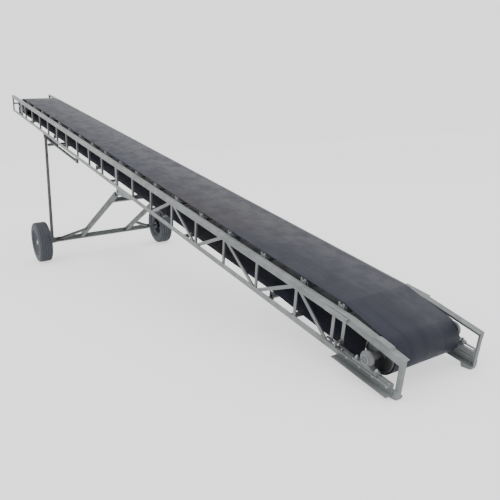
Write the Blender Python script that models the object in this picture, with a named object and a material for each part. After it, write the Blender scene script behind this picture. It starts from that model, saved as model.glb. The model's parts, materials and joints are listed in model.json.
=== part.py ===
"""Mobile belt conveyor: a ten metre truss frame on two wheels, standing at its lowest slope.

Frame coordinates, used by most shapes below, lie along the sloping frame: x = 0 at the tail
(loading) end and -10 m at the head (discharge) end, y across the belt, z square to the belt with
0 on top of the top chords. One empty, frame_axes, carries them into the world, where +X points to
the tail, +Z is up, and the wheels and the tail feet stand on z = 0.
"""

import math

import bmesh
import bpy
from mathutils import Vector

# Frame
INCLINE = math.radians(13.3)
FRAME_LENGTH = 10.0
FRAME_WIDTH = 0.71
FRAME_DEPTH = 0.29
BAY = 0.5
SPLICE = 4.5
KINK = 0.45
TAIL_DROP = 0.04
CHORD_LEG = 0.045
CHORD_FLANGE = 0.05
CHORD_WALL = 0.005
POST_LEG = 0.028
POST_WALL = 0.004
WELD = 0.001
DIAGONALS = [(0.62, 1.0), (1.5, 1.0), (1.5, 2.0), (2.5, 2.0), (2.5, 3.0), (3.5, 3.0)]
CROSS_MEMBERS = [1.05, 2.75, 4.75, 6.75, 8.75]
GAP = 0.0004

# Belt and rollers
BELT_WIDTH = 0.57
BELT_THICKNESS = 0.008
BELT_TOP = 0.035
ROLLER_RADIUS = 0.038
RETURN_ROLLER_RADIUS = 0.025
ROLLER_HALF_LENGTH = 0.289
ROLLER_SHAFT_RADIUS = 0.010
ROLLER_SHAFT_HALF = 0.298
ROLLING_GAP = 0.0006
PULLEY_GAP = 0.0012
FIRST_ROLLER = 0.60
ROLLER_STATIONS = [FIRST_ROLLER] + [1.0 + BAY * k for k in range(17)]
RETURN_STATIONS = [1.35, 3.35, 5.35, 7.35]
RETURN_ROLLER_Z = -0.262
BRACKET_Y = 0.2935
BRACKET_WALL = 0.006
BRACKET_LENGTH = 0.056
BRACKET_FOOT = 0.006
CARRYING_RISE = 0.040
RETURN_RISE = 0.030
SHAFT_SLOT = 0.021

# Head drum and tail pulley
DRUM_HALF_LENGTH = 0.292
HEAD_STATION = 9.43
HEAD_RADIUS = 0.125
HEAD_BELT_TOP = 0.015
HEAD_SHAFT_RADIUS = 0.020
SHAFT_PLATE_Y = 0.318
SHAFT_PLATE_WALL = 0.012
TAIL_STATION = 0.237
TAIL_Z = -0.148
TAIL_RADIUS = 0.118
TAIL_SHAFT_RADIUS = 0.025
HOUSING_Y = 0.385
HOUSING_WIDTH = 0.046
HOUSING_LENGTH = 0.210
HOUSING_HEIGHT = 0.060
HOUSING_BASE = 0.018
HOUSING_DOME = 0.055
RAIL_FLANGE = 0.056
RAIL_WALL = 0.006
TAKEUP_RAIL = (0.035, 0.520)
TAKEUP_SLOT = (0.062, 0.440)
SCREW_RADIUS = 0.008
SCREW_Z = -0.192
SCREW_BRACKET = 0.500
SCREW_END = 0.600

# Undercarriage
PIN_Z = -0.325
HINGE_STATION = 4.46
AXLE_STATION = 6.05
AXLE_Z = -1.448
STRUT_TOP_STATION = 2 * AXLE_STATION - HINGE_STATION
LEG_Y = 0.340
LEG_SIZE = 0.050
LEG_EYE_RADIUS = 0.030
LEG_EYE_WALL = 0.014
PIN_RADIUS = 0.010
AXLE_SIZE = 0.060
AXLE_HALF = 0.703
AXLE_ROUND_RADIUS = 0.025
AXLE_ROUND_HALF = 0.796
SPINDLE_RADIUS = 0.020
SPINDLE_HALF = 0.920
CROSS_TUBE_FROM_HINGE = 0.32
BRACE_HEIGHT = 0.40
BRACE_FOOT = (0.655, 0.698)
BRACE_SIZE = 0.032
STRUT_SIZE = 0.040
STRUT_EYE_Y = 0.748
STRUT_EYE_WIDTH = 0.050
STRUT_EYE_RADIUS = 0.042
STRUT_TOP_Y = 0.357
STRUT_CROSS_DROP = 0.16
STRUT_CROSS_SIZE = 0.032
TRACK_ROLLER_RADIUS = 0.027
TRACK_ROLLER_WIDTH = 0.024
TRACK_Y = 0.313
TRACK_WIDTH = 0.030
RAIL_TAIL_END = 6.13
RAIL_HEAD_END = 7.90
RAIL_TOP = -0.357
RAIL_HEIGHT = 0.024
HANGER_LENGTH = 0.72
WHEEL_Y = 0.900
TYRE_RADIUS = 0.280
TYRE_WIDTH = 0.180
RIM_RADIUS = 0.172
HUB_RADIUS = 0.050
WHEEL_SEGMENTS = 28

HALF = FRAME_WIDTH / 2
FLANGE_TOP = -FRAME_DEPTH + CHORD_WALL
HOUSING_FOOT_Z = TAIL_Z - HOUSING_HEIGHT
ROLLER_Z = BELT_TOP - BELT_THICKNESS - ROLLING_GAP - ROLLER_RADIUS
HEAD_Z = HEAD_BELT_TOP - BELT_THICKNESS - PULLEY_GAP - HEAD_RADIUS
SINE, COSINE = math.sin(INCLINE), math.cos(INCLINE)
AXLE_RISE = AXLE_STATION * SINE + AXLE_Z * COSINE
HALF_FACET = math.pi / WHEEL_SEGMENTS
FRAME_HEIGHT = TYRE_RADIUS * math.cos(HALF_FACET) - AXLE_RISE
TAIL_TIP_X = -TAIL_DROP * SINE
HEAD_TIP_X = -FRAME_LENGTH * COSINE - FRAME_DEPTH * SINE
FRAME_X = -(TAIL_TIP_X + HEAD_TIP_X) / 2
SIDES = {"left": -1, "right": 1}

PAINTS = {
    "frame_paint": ((0.42, 0.43, 0.43), 0.45, 0.0),
    "chassis_paint": ((0.055, 0.06, 0.062), 0.5, 0.0),
    "belt_rubber": ((0.075, 0.08, 0.10), 0.75, 0.0),
    "steel": ((0.45, 0.46, 0.47), 0.35, 0.9),
    "housing_paint": ((0.20, 0.22, 0.23), 0.45, 0.0),
    "tyre_rubber": ((0.03, 0.032, 0.036), 0.85, 0.0),
}


def clear_scene():
    for item in list(bpy.data.objects):
        bpy.data.objects.remove(item, do_unlink=True)


def make_materials():
    made = {}
    for name, (colour, roughness, metallic) in PAINTS.items():
        material = bpy.data.materials.new(name)
        material.use_nodes = True
        shader = material.node_tree.nodes["Principled BSDF"]
        shader.inputs["Base Color"].default_value = (*colour, 1.0)
        shader.inputs["Roughness"].default_value = roughness
        shader.inputs["Metallic"].default_value = metallic
        made[name] = material
    return made


def make_axes():
    """The empty that carries frame coordinates into the world."""
    axes = bpy.data.objects.new("frame_axes", None)
    bpy.context.scene.collection.objects.link(axes)
    axes.location = (FRAME_X, 0.0, FRAME_HEIGHT)
    axes.rotation_euler = (0.0, INCLINE, 0.0)
    return axes


def station(s, y, z):
    """A point of the frame, s metres from the tail end."""
    return Vector((-s, y, z))


# Closed shapes. Each is a bmesh in frame coordinates.


def prism(outline, origin, across, up, along, length):
    """An outline of (a, b) points in the plane (across, up) at origin, drawn out by length."""
    bm = bmesh.new()
    near = [bm.verts.new(origin + across * a + up * b) for a, b in outline]
    far = [bm.verts.new(vert.co + along * length) for vert in near]
    bm.faces.new(near)
    bm.faces.new(list(reversed(far)))
    for i in range(len(outline)):
        j = (i + 1) % len(outline)
        bm.faces.new((near[j], near[i], far[i], far[j]))
    bmesh.ops.recalc_face_normals(bm, faces=bm.faces)
    return bm


def box(low, high):
    outline = [(low[0], low[1]), (high[0], low[1]), (high[0], high[1]), (low[0], high[1])]
    origin, height = Vector((0.0, 0.0, low[2])), high[2] - low[2]
    return prism(outline, origin, Vector((1, 0, 0)), Vector((0, 1, 0)), Vector((0, 0, 1)), height)


def bar(start, end, width, depth, side):
    """A rectangular bar from start to end, width along side and depth square to it."""
    along = (end - start).normalized()
    up = along.cross(side).normalized()
    across = up.cross(along)
    w, d = width / 2, depth / 2
    return prism([(-w, -d), (w, -d), (w, d), (-w, d)], start, across, up, along, (end - start).length)


def plate(outline, y, wall):
    """An outline of (s, z) points as an upright plate from y to y + wall."""
    points = [(-s, z) for s, z in outline]
    return prism(points, Vector((0, y, 0)), Vector((1, 0, 0)), Vector((0, 0, 1)), Vector((0, 1, 0)), wall)


def turned(profile, segments, closed=False):
    """(radius, y) points turned about the y axis. A closed profile makes a ring with a bore."""
    bm = bmesh.new()
    rings = []
    for step in range(segments):
        angle = 2 * math.pi * step / segments
        spoke = Vector((math.cos(angle), 0, math.sin(angle)))
        rings.append([bm.verts.new(spoke * r + Vector((0, y, 0))) for r, y in profile])
    count = len(profile)
    for step in range(segments):
        here, there = rings[step], rings[(step + 1) % segments]
        for i in range(count if closed else count - 1):
            j = (i + 1) % count
            bm.faces.new((here[i], here[j], there[j], there[i]))
    if not closed:
        bm.faces.new([ring[0] for ring in rings])
        bm.faces.new([ring[-1] for ring in reversed(rings)])
    bmesh.ops.recalc_face_normals(bm, faces=bm.faces)
    return bm


def disc(station_s, z, low_y, high_y, radius, segments=24):
    bm = turned([(radius, low_y), (radius, high_y)], segments)
    bmesh.ops.translate(bm, verts=bm.verts, vec=(-station_s, 0, z))
    return bm


def chord(side, stations, top):
    """An angle-section chord through (s, z) stations: web outside, flange at the top or bottom."""
    flange = -CHORD_WALL if top else CHORD_WALL
    web = -CHORD_LEG if top else CHORD_LEG
    inner = HALF - CHORD_FLANGE
    section = [(HALF, 0), (inner, 0), (inner, flange), (HALF - CHORD_WALL, flange)]
    section += [(HALF - CHORD_WALL, web), (HALF, web)]
    bm = bmesh.new()
    rings = []
    for s, z in stations:
        rings.append([bm.verts.new((-s, side * y, z + dz)) for y, dz in section])
    for here, there in zip(rings, rings[1:]):
        for i in range(len(section)):
            j = (i + 1) % len(section)
            bm.faces.new((here[i], here[j], there[j], there[i]))
    bm.faces.new(rings[0])
    bm.faces.new(list(reversed(rings[-1])))
    bmesh.ops.recalc_face_normals(bm, faces=bm.faces)
    return bm


def angle_bar(side, start, end, turn):
    """An angle bar in the truss plane between two (s, z) points, its inner leg on the turn side."""
    low, high = station(start[0], 0, start[1]), station(end[0], 0, end[1])
    along = (high - low).normalized()
    across = Vector((0, 1, 0)).cross(along) * turn
    inward = Vector((0, -side, 0))
    origin = low + Vector((0, side * (HALF - CHORD_WALL + WELD), 0))
    leg, wall = POST_LEG, POST_WALL
    section = [(-leg / 2, 0), (leg / 2, 0), (leg / 2, wall), (wall - leg / 2, wall)]
    section += [(wall - leg / 2, leg), (-leg / 2, leg)]
    return prism(section, origin, across, inward, along, (high - low).length)


# Objects


def add_object(name, bm, material, parent, location=(0, 0, 0), smooth=False):
    mesh = bpy.data.meshes.new(name)
    bm.to_mesh(mesh)
    bm.free()
    mesh.materials.append(material)
    if smooth:
        mesh.shade_smooth()
        mesh.set_sharp_from_angle(angle=math.radians(35))
    item = bpy.data.objects.new(name, mesh)
    bpy.context.scene.collection.objects.link(item)
    item.parent = parent
    item.location = location
    return item


def joined(shapes):
    """Several closed shapes in one bmesh, still separate bodies."""
    whole = bmesh.new()
    for shape in shapes:
        mesh = bpy.data.meshes.new("shape")
        shape.to_mesh(mesh)
        shape.free()
        whole.from_mesh(mesh)
        bpy.data.meshes.remove(mesh)
    return whole


def add_helper(name, shapes, material, parent, location=(0, 0, 0)):
    helper = add_object(name, joined(shapes), material, parent, location)
    helper.hide_render = True
    helper.display_type = "WIRE"
    return helper


def combine(item, helper, operation, self_crossing):
    modifier = item.modifiers.new(operation.lower(), "BOOLEAN")
    modifier.operation = operation
    modifier.solver = "EXACT"
    modifier.use_self = self_crossing
    modifier.object = helper


def add_welded(name, shapes, material, parent, location=(0, 0, 0), smooth=False):
    """One body: the first shape with all the others welded on by a Boolean union."""
    item = add_object(name, shapes[0], material, parent, location, smooth)
    helper = add_helper(name + ".members", shapes[1:], material, parent, location)
    combine(item, helper, "UNION", True)
    return item


# The four truss halves


def posts(first, last):
    return [s for s in (BAY * k for k in range(2, 20)) if first < s < last]


def chord_top(s):
    return -TAIL_DROP * (1 - s / KINK) if s < KINK else 0.0


def upright(side, s, turn=1):
    low = -FRAME_DEPTH + CHORD_WALL - WELD
    high = chord_top(s) - CHORD_WALL + WELD
    return angle_bar(side, (s, low), (s, high), turn)


def diagonal(side, low_s, high_s):
    return angle_bar(side, (low_s, -FRAME_DEPTH + 0.025), (high_s, -0.025), 1 if high_s > low_s else -1)


def shaft_bracket(side, s, shaft_z, rise, foot_z):
    """An upstand with an open slot for a roller shaft, and the foot that ties it to a chord flange."""
    half, slot = BRACKET_LENGTH / 2, SHAFT_SLOT / 2
    top, sill = shaft_z + rise, shaft_z - ROLLER_SHAFT_RADIUS - WELD
    low = min(foot_z, sill - 0.012)
    outline = [(s - half, low), (s + half, low), (s + half, top), (s + slot, top)]
    outline += [(s + slot, sill), (s - slot, sill), (s - slot, top), (s - half, top)]
    y = BRACKET_Y if side > 0 else -BRACKET_Y - BRACKET_WALL
    near, far = sorted((side * (BRACKET_Y + BRACKET_WALL - WELD), side * (HALF - 0.012)))
    foot = box((-s - half + 0.002, near, foot_z), (-s + half - 0.002, far, foot_z + BRACKET_FOOT))
    return [plate(outline, y, BRACKET_WALL), foot]


def carrying_brackets(side, stations):
    """Brackets whose feet are welded under the top flange."""
    foot_z = WELD - CHORD_WALL - BRACKET_FOOT
    return [shape for s in stations for shape in shaft_bracket(side, s, ROLLER_Z, CARRYING_RISE, foot_z)]


def return_brackets(side, stations):
    """Brackets whose feet are welded on the bottom flange."""
    foot_z, z = FLANGE_TOP - WELD, RETURN_ROLLER_Z
    return [shape for s in stations for shape in shaft_bracket(side, s, z, RETURN_RISE, foot_z)]


def ground_z(s):
    """The frame-coordinate height of the ground below station s."""
    return -(FRAME_HEIGHT + s * SINE) / COSINE


def tail_foot(side):
    """A wedge foot whose sole lies flat on the ground."""
    top = -FRAME_DEPTH + CHORD_WALL - WELD
    outline = [(0.004, top), (0.004, ground_z(0.004)), (0.075, ground_z(0.075)), (0.088, top)]
    y = HALF - 0.048 if side > 0 else -HALF + 0.001
    return plate(outline, y, 0.047)


def side_channel(side):
    """A short flat channel on the outside of the top chord, over the double posts."""
    y = HALF - WELD if side > 0 else -HALF - 0.024
    top = plate([(0.46, -0.004), (0.67, -0.004), (0.67, -0.009), (0.46, -0.009)], y, 0.024 + WELD)
    lip_y = HALF + 0.019 if side > 0 else -HALF - 0.024
    lip = plate([(0.46, -0.006), (0.67, -0.006), (0.67, -0.030), (0.46, -0.030)], lip_y, 0.005)
    return [top, lip]


def hinge_plates(side):
    """The clevis under the bottom chord that carries the leg hinge."""
    s, z = HINGE_STATION, PIN_Z
    outline = [(s + 0.030, -FRAME_DEPTH + 0.02), (3.98, -FRAME_DEPTH + 0.02), (4.02, -FRAME_DEPTH - 0.006)]
    outline += [(4.34, -FRAME_DEPTH - 0.055), (s - 0.03, z - 0.032), (s + 0.012, z - 0.032)]
    outline.append((s + 0.030, z - 0.012))
    inner = [(s + 0.030, FLANGE_TOP - WELD), (s - 0.12, FLANGE_TOP - WELD), (s - 0.03, z - 0.032)]
    inner += [(s + 0.012, z - 0.032), (s + 0.030, z - 0.012)]
    outer_y = HALF - 0.006 if side > 0 else -HALF
    inner_y = HALF - 0.030 if side > 0 else -HALF + 0.024
    return [plate(outline, outer_y, 0.006), plate(inner, inner_y, 0.006)]


def tail_truss_shapes(side):
    top = chord(side, [(SPLICE - GAP, 0), (KINK, 0), (0.0, -TAIL_DROP)], True)
    bottom = chord(side, [(SPLICE - GAP, -FRAME_DEPTH), (0.0, -FRAME_DEPTH)], False)
    shapes = [top, bottom, upright(side, POST_LEG / 2 + 0.0003, -1)]
    shapes += [upright(side, s) for s in (0.50, FIRST_ROLLER)]
    shapes += [upright(side, s) for s in posts(0.7, SPLICE - 0.1)]
    shapes += [upright(side, SPLICE - GAP - POST_LEG / 2 - 0.0003)]
    for low_s, high_s in DIAGONALS:
        pull = 0.02 if high_s > low_s else -0.02
        shapes.append(diagonal(side, low_s + pull, high_s - pull))
    shapes += carrying_brackets(side, [s for s in ROLLER_STATIONS if s < SPLICE - 0.1])
    shapes += return_brackets(side, [s for s in RETURN_STATIONS if s < SPLICE])
    shapes += [tail_foot(side)] + side_channel(side) + hinge_plates(side)
    return shapes


def head_truss_shapes(side):
    top = chord(side, [(SPLICE, 0), (FRAME_LENGTH, 0)], True)
    bottom = chord(side, [(SPLICE, -FRAME_DEPTH), (FRAME_LENGTH, -FRAME_DEPTH)], False)
    shapes = [top, bottom, upright(side, SPLICE + POST_LEG / 2 + 0.0003, -1)]
    shapes += [upright(side, s) for s in posts(SPLICE + 0.1, FRAME_LENGTH - 0.1)]
    shapes += [upright(side, FRAME_LENGTH - POST_LEG / 2 - 0.0003)]
    shapes += carrying_brackets(side, [s for s in ROLLER_STATIONS if s > SPLICE + 0.1])
    shapes += return_brackets(side, [s for s in RETURN_STATIONS if s > SPLICE])
    return shapes


def build_trusses(paint, axes):
    for name, side in SIDES.items():
        add_welded(f"{name}_truss_tail", tail_truss_shapes(side), paint["frame_paint"], axes)
        add_welded(f"{name}_truss_head", head_truss_shapes(side), paint["frame_paint"], axes)


def cross_member(s):
    """An angle lying across the bottom flanges."""
    z = FLANGE_TOP + GAP
    section = [(0, 0), (0.030, 0), (0.030, 0.004), (0.004, 0.004), (0.004, 0.028), (0, 0.028)]
    half = HALF - CHORD_WALL - GAP
    across, up, along = Vector((1, 0, 0)), Vector((0, 0, 1)), Vector((0, 1, 0))
    return prism(section, station(s, -half, z), across, up, along, 2 * half)


def build_cross_members(paint, axes):
    for number, s in enumerate(CROSS_MEMBERS, 1):
        add_object(f"cross_member_{number}", cross_member(s), paint["frame_paint"], axes)
    reach = HALF - CHORD_WALL + WELD - POST_LEG - GAP
    bar_shape = box((-FRAME_LENGTH + 0.001, -reach, -0.165), (-FRAME_LENGTH + 0.027, reach, -0.135))
    add_object("head_end_crossbar", bar_shape, paint["frame_paint"], axes)


# Belt


def tangent(first, second):
    """Heading of the straight belt run between two signed circles (s, z, radius)."""
    ds, dz = second[0] - first[0], second[1] - first[1]
    return math.atan2(dz, ds) - math.asin((first[2] - second[2]) / math.hypot(ds, dz))


def belt_circles():
    """Circles the belt's inner face bends round, in the order it travels. Outside ones are negative."""
    over = ROLLER_RADIUS + ROLLING_GAP
    under = -(RETURN_ROLLER_RADIUS + ROLLING_GAP + BELT_THICKNESS)
    circles = [(TAIL_STATION, TAIL_Z, TAIL_RADIUS + PULLEY_GAP)]
    circles += [(ROLLER_STATIONS[0], ROLLER_Z, over), (ROLLER_STATIONS[-1], ROLLER_Z, over)]
    circles.append((HEAD_STATION, HEAD_Z, HEAD_RADIUS + PULLEY_GAP))
    circles += [(s, RETURN_ROLLER_Z, under) for s in (RETURN_STATIONS[-1], RETURN_STATIONS[0])]
    return circles


def belt_outline():
    """Pairs of inner and outer (s, z) points round the whole loop."""
    circles = belt_circles()
    count = len(circles)
    pairs = []
    for i, (s, z, radius) in enumerate(circles):
        arrive = tangent(circles[i - 1], circles[i])
        leave = tangent(circles[i], circles[(i + 1) % count])
        turn = (leave - arrive + math.pi) % (2 * math.pi) - math.pi
        if radius > 0.1 and turn > 0:
            turn -= 2 * math.pi
        steps = max(1, round(abs(turn) / math.radians(11)))
        for step in range(steps + 1):
            heading = arrive + turn * step / steps
            normal = (-math.sin(heading), math.cos(heading))
            outer = radius + BELT_THICKNESS
            inner_point = (s + normal[0] * radius, z + normal[1] * radius)
            pairs.append((inner_point, (s + normal[0] * outer, z + normal[1] * outer)))
    return pairs


def build_belt(paint, axes):
    bm = bmesh.new()
    half = BELT_WIDTH / 2
    rows = []
    for (si, zi), (so, zo) in belt_outline():
        corners = ((si, -half, zi), (so, -half, zo), (so, half, zo), (si, half, zi))
        rows.append([bm.verts.new(station(*corner)) for corner in corners])
    for i, here in enumerate(rows):
        there = rows[(i + 1) % len(rows)]
        for a in range(4):
            b = (a + 1) % 4
            bm.faces.new((here[a], here[b], there[b], there[a]))
    bmesh.ops.recalc_face_normals(bm, faces=bm.faces)
    add_object("conveyor_belt", bm, paint["belt_rubber"], axes, smooth=True)


# Rollers, drum and pulley


def roller_shape(radius):
    half, shaft = ROLLER_HALF_LENGTH, ROLLER_SHAFT_HALF
    profile = [(ROLLER_SHAFT_RADIUS, -shaft), (ROLLER_SHAFT_RADIUS, -half), (radius, -half)]
    profile += [(radius, half), (ROLLER_SHAFT_RADIUS, half), (ROLLER_SHAFT_RADIUS, shaft)]
    return turned(profile, 12)


def build_rollers(paint, axes):
    for number, s in enumerate(ROLLER_STATIONS, 1):
        shape = roller_shape(ROLLER_RADIUS)
        name = f"carrying_roller_{number:02d}"
        add_object(name, shape, paint["steel"], axes, station(s, 0, ROLLER_Z), smooth=True)
    for number, s in enumerate(RETURN_STATIONS, 1):
        shape = roller_shape(RETURN_ROLLER_RADIUS)
        name = f"return_roller_{number}"
        add_object(name, shape, paint["steel"], axes, station(s, 0, RETURN_ROLLER_Z), smooth=True)


def build_head(paint, axes):
    centre = station(HEAD_STATION, 0, HEAD_Z)
    bore = HEAD_SHAFT_RADIUS + 0.0005
    half, edge = DRUM_HALF_LENGTH, HEAD_RADIUS - 0.006
    shell = [(bore, -half), (edge, -half), (HEAD_RADIUS, -half + 0.02)]
    shell += [(HEAD_RADIUS, half - 0.02), (edge, half), (bore, half)]
    add_object("head_drum", turned(shell, 36, closed=True), paint["steel"], axes, centre, smooth=True)
    reach = HALF - CHORD_WALL - 0.004
    shaft = turned([(HEAD_SHAFT_RADIUS, -reach), (HEAD_SHAFT_RADIUS, reach)], 16)
    add_object("head_drum_shaft", shaft, paint["steel"], axes, centre, smooth=True)
    for name, side in SIDES.items():
        build_head_shaft_plate(name, side, paint, axes)


def build_head_shaft_plate(name, side, paint, axes):
    """An upright plate between the chords that the drum shaft passes through."""
    low_y = SHAFT_PLATE_Y if side > 0 else -SHAFT_PLATE_Y - SHAFT_PLATE_WALL
    low_s, high_s = HEAD_STATION - 0.10, HEAD_STATION + 0.052
    outline = [(low_s, FLANGE_TOP + GAP), (high_s, FLANGE_TOP + GAP)]
    outline += [(high_s, -CHORD_WALL - GAP), (low_s, -CHORD_WALL - GAP)]
    shape = plate(outline, low_y, SHAFT_PLATE_WALL)
    holder = add_object(f"{name}_head_shaft_plate", shape, paint["frame_paint"], axes)
    hole = disc(HEAD_STATION, HEAD_Z, low_y - 0.01, low_y + 0.022, HEAD_SHAFT_RADIUS + GAP, 16)
    helper = add_helper(f"{name}_head_shaft_hole", [hole], paint["steel"], axes)
    combine(holder, helper, "DIFFERENCE", False)


def build_tail_pulley(paint, axes):
    centre = station(TAIL_STATION, 0, TAIL_Z)
    half, edge = DRUM_HALF_LENGTH, TAIL_RADIUS - 0.004
    shaft_reach = HOUSING_Y + HOUSING_WIDTH / 2 - 0.002
    profile = [(TAIL_SHAFT_RADIUS, -shaft_reach), (TAIL_SHAFT_RADIUS, -half), (edge, -half)]
    profile += [(TAIL_RADIUS, -half + 0.01), (TAIL_RADIUS, half - 0.01), (edge, half)]
    profile += [(TAIL_SHAFT_RADIUS, half), (TAIL_SHAFT_RADIUS, shaft_reach)]
    add_object("tail_pulley", turned(profile, 32), paint["steel"], axes, centre, smooth=True)


def housing_outline():
    """Side outline of a pillow block: a long foot and a round dome over the bearing."""
    half = HOUSING_LENGTH / 2
    low, foot = HOUSING_FOOT_Z, HOUSING_FOOT_Z + HOUSING_BASE
    outline = [(TAIL_STATION - half, low), (TAIL_STATION + half, low), (TAIL_STATION + half, foot)]
    for step in range(13):
        angle = math.radians(-25 + 230 * step / 12)
        dome_s = TAIL_STATION + HOUSING_DOME * math.cos(angle)
        outline.append((dome_s, TAIL_Z + HOUSING_DOME * math.sin(angle)))
    outline.append((TAIL_STATION - half, foot))
    return outline


def takeup_rail_shapes(side):
    """A channel on the outside of the bottom chord, open outward, and the fork for the screw."""
    near, far = HALF + GAP, HALF + GAP + RAIL_FLANGE
    low, high = -FRAME_DEPTH, HOUSING_FOOT_Z - GAP
    wall = RAIL_WALL
    section = [(near, low), (far, low), (far, low + wall), (near + wall, low + wall)]
    section += [(near + wall, high - wall), (far, high - wall), (far, high), (near, high)]
    start, end = TAKEUP_RAIL
    across, up, along = Vector((0, side, 0)), Vector((0, 0, 1)), Vector((1, 0, 0))
    channel = prism(section, Vector((-end, 0, 0)), across, up, along, end - start)
    slot, top = SCREW_RADIUS + 0.0008, SCREW_Z + 0.022
    base, sill = high - WELD, SCREW_Z - SCREW_RADIUS - 0.0006
    outline = [(near, base), (far, base), (far, top), (HOUSING_Y + slot, top), (HOUSING_Y + slot, sill)]
    outline += [(HOUSING_Y - slot, sill), (HOUSING_Y - slot, top), (near, top)]
    fork = prism(outline, Vector((-SCREW_BRACKET - 0.006, 0, 0)), across, up, along, 0.012)
    return [channel, fork]


def build_bearing(name, side, paint, axes):
    y = side * HOUSING_Y - HOUSING_WIDTH / 2
    shape = plate(housing_outline(), y, HOUSING_WIDTH)
    housing = add_object(f"{name}_tail_bearing", shape, paint["housing_paint"], axes)
    bore = disc(TAIL_STATION, TAIL_Z, y - 0.01, y + HOUSING_WIDTH + 0.01, TAIL_SHAFT_RADIUS + GAP, 24)
    helper = add_helper(f"{name}_bearing_bore", [bore], paint["steel"], axes)
    combine(housing, helper, "DIFFERENCE", False)


def build_takeup_rail(name, side, paint, axes):
    shapes = takeup_rail_shapes(side)
    rail = add_welded(f"{name}_takeup_rail", shapes, paint["frame_paint"], axes)
    slot_y, half = side * HOUSING_Y, SCREW_RADIUS
    start, end = TAKEUP_SLOT
    slot = box((-end, slot_y - half, HOUSING_FOOT_Z - 0.02), (-start, slot_y + half, HOUSING_FOOT_Z + 0.01))
    combine(rail, add_helper(f"{name}_rail_slot", [slot], paint["steel"], axes), "DIFFERENCE", False)


def build_takeup(paint, axes):
    screw_start = TAIL_STATION + HOUSING_LENGTH / 2
    for name, side in SIDES.items():
        build_bearing(name, side, paint, axes)
        build_takeup_rail(name, side, paint, axes)
        screw = turned([(SCREW_RADIUS, 0.001), (SCREW_RADIUS, SCREW_END - screw_start)], 12)
        item = add_object(f"{name}_takeup_screw", screw, paint["steel"], axes, smooth=True)
        item.location = station(screw_start, side * HOUSING_Y, SCREW_Z)
        item.rotation_euler = (0, 0, math.pi / 2)


# Undercarriage


def leg_direction():
    """Unit vector from the axle up to the leg hinge."""
    return (station(HINGE_STATION, 0, PIN_Z) - station(AXLE_STATION, 0, AXLE_Z)).normalized()


def strut_direction():
    return (station(STRUT_TOP_STATION, 0, PIN_Z) - station(AXLE_STATION, 0, AXLE_Z)).normalized()


def leg_shapes(side):
    """One leg: square tube, flat eye at the hinge, and the brace that spreads it to the axle end."""
    axle, hinge = station(AXLE_STATION, 0, AXLE_Z), station(HINGE_STATION, 0, PIN_Z)
    along, across = leg_direction(), Vector((0, 1, 0))
    lift = Vector((0, side * LEG_Y, 0))
    foot = axle + along * (AXLE_SIZE / 2 + GAP) + lift
    top = hinge - along * 0.075 + lift
    tube = bar(foot, top, LEG_SIZE, LEG_SIZE, across)
    neck = bar(top - along * 0.03, hinge + lift, LEG_EYE_WALL, 2 * LEG_EYE_RADIUS - 0.004, across)
    low_y = side * LEG_Y - LEG_EYE_WALL / 2
    eye = disc(HINGE_STATION, PIN_Z, low_y, low_y + LEG_EYE_WALL, LEG_EYE_RADIUS, 24)
    near, far = AXLE_SIZE / 2 + GAP, BRACE_HEIGHT
    outline = [(BRACE_FOOT[0], near), (BRACE_FOOT[1], near), (LEG_Y, far + 0.03), (LEG_Y, far - 0.01)]
    depth = across.cross(along) * (BRACE_SIZE / 2)
    points = [(side * y, reach) for y, reach in outline]
    brace = prism(points, axle - depth, across, along, depth.normalized(), BRACE_SIZE)
    return [tube, neck, eye, brace]


def build_legs(paint, axes):
    axle = station(AXLE_STATION, 0, AXLE_Z)
    pivot = bpy.data.objects.new("leg_hinge_axis", None)
    bpy.context.scene.collection.objects.link(pivot)
    pivot.parent = axes
    pivot.location = station(HINGE_STATION, 0, PIN_Z)
    back = tuple(-pivot.location)
    for name, side in SIDES.items():
        leg = add_welded(f"{name}_leg", leg_shapes(side), paint["chassis_paint"], pivot, back)
        y = side * LEG_Y
        hole = disc(HINGE_STATION, PIN_Z, y - 0.03, y + 0.03, PIN_RADIUS + GAP, 16)
        combine(leg, add_helper(f"{name}_leg_hole", [hole], paint["steel"], pivot, back), "DIFFERENCE", False)
    along = leg_direction()
    spot = station(HINGE_STATION, 0, PIN_Z) - along * CROSS_TUBE_FROM_HINGE
    reach = Vector((0, LEG_Y - LEG_SIZE / 2 - GAP, 0))
    tube = bar(spot - reach, spot + reach, LEG_SIZE, LEG_SIZE, along)
    add_object("leg_cross_tube", tube, paint["chassis_paint"], pivot, back)
    half = Vector((0, AXLE_HALF, 0))
    beam = bar(axle - half, axle + half, AXLE_SIZE, AXLE_SIZE, along)
    profile = [(SPINDLE_RADIUS, -SPINDLE_HALF), (SPINDLE_RADIUS, -AXLE_ROUND_HALF)]
    profile += [(AXLE_ROUND_RADIUS, -AXLE_ROUND_HALF), (AXLE_ROUND_RADIUS, AXLE_ROUND_HALF)]
    profile += [(SPINDLE_RADIUS, AXLE_ROUND_HALF), (SPINDLE_RADIUS, SPINDLE_HALF)]
    spindle = turned(profile, 20)
    bmesh.ops.translate(spindle, verts=spindle.verts, vec=axle)
    add_welded("wheel_axle", [beam, spindle], paint["chassis_paint"], pivot, back)


def build_hinge_pins(paint, axes):
    """Pins through the clevis plates, drilled out of the trusses with a running gap."""
    for name, side in SIDES.items():
        y = side * (HALF - 0.015)
        pin = turned([(PIN_RADIUS, -0.026), (PIN_RADIUS, 0.026)], 16)
        centre = station(HINGE_STATION, y, PIN_Z)
        add_object(f"{name}_hinge_pin", pin, paint["steel"], axes, centre, smooth=True)
        hole = disc(HINGE_STATION, PIN_Z, y - 0.04, y + 0.04, PIN_RADIUS + GAP, 16)
        helper = add_helper(f"{name}_pin_hole", [hole], paint["steel"], axes)
        combine(bpy.data.objects[f"{name}_truss_tail"], helper, "DIFFERENCE", False)


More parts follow.
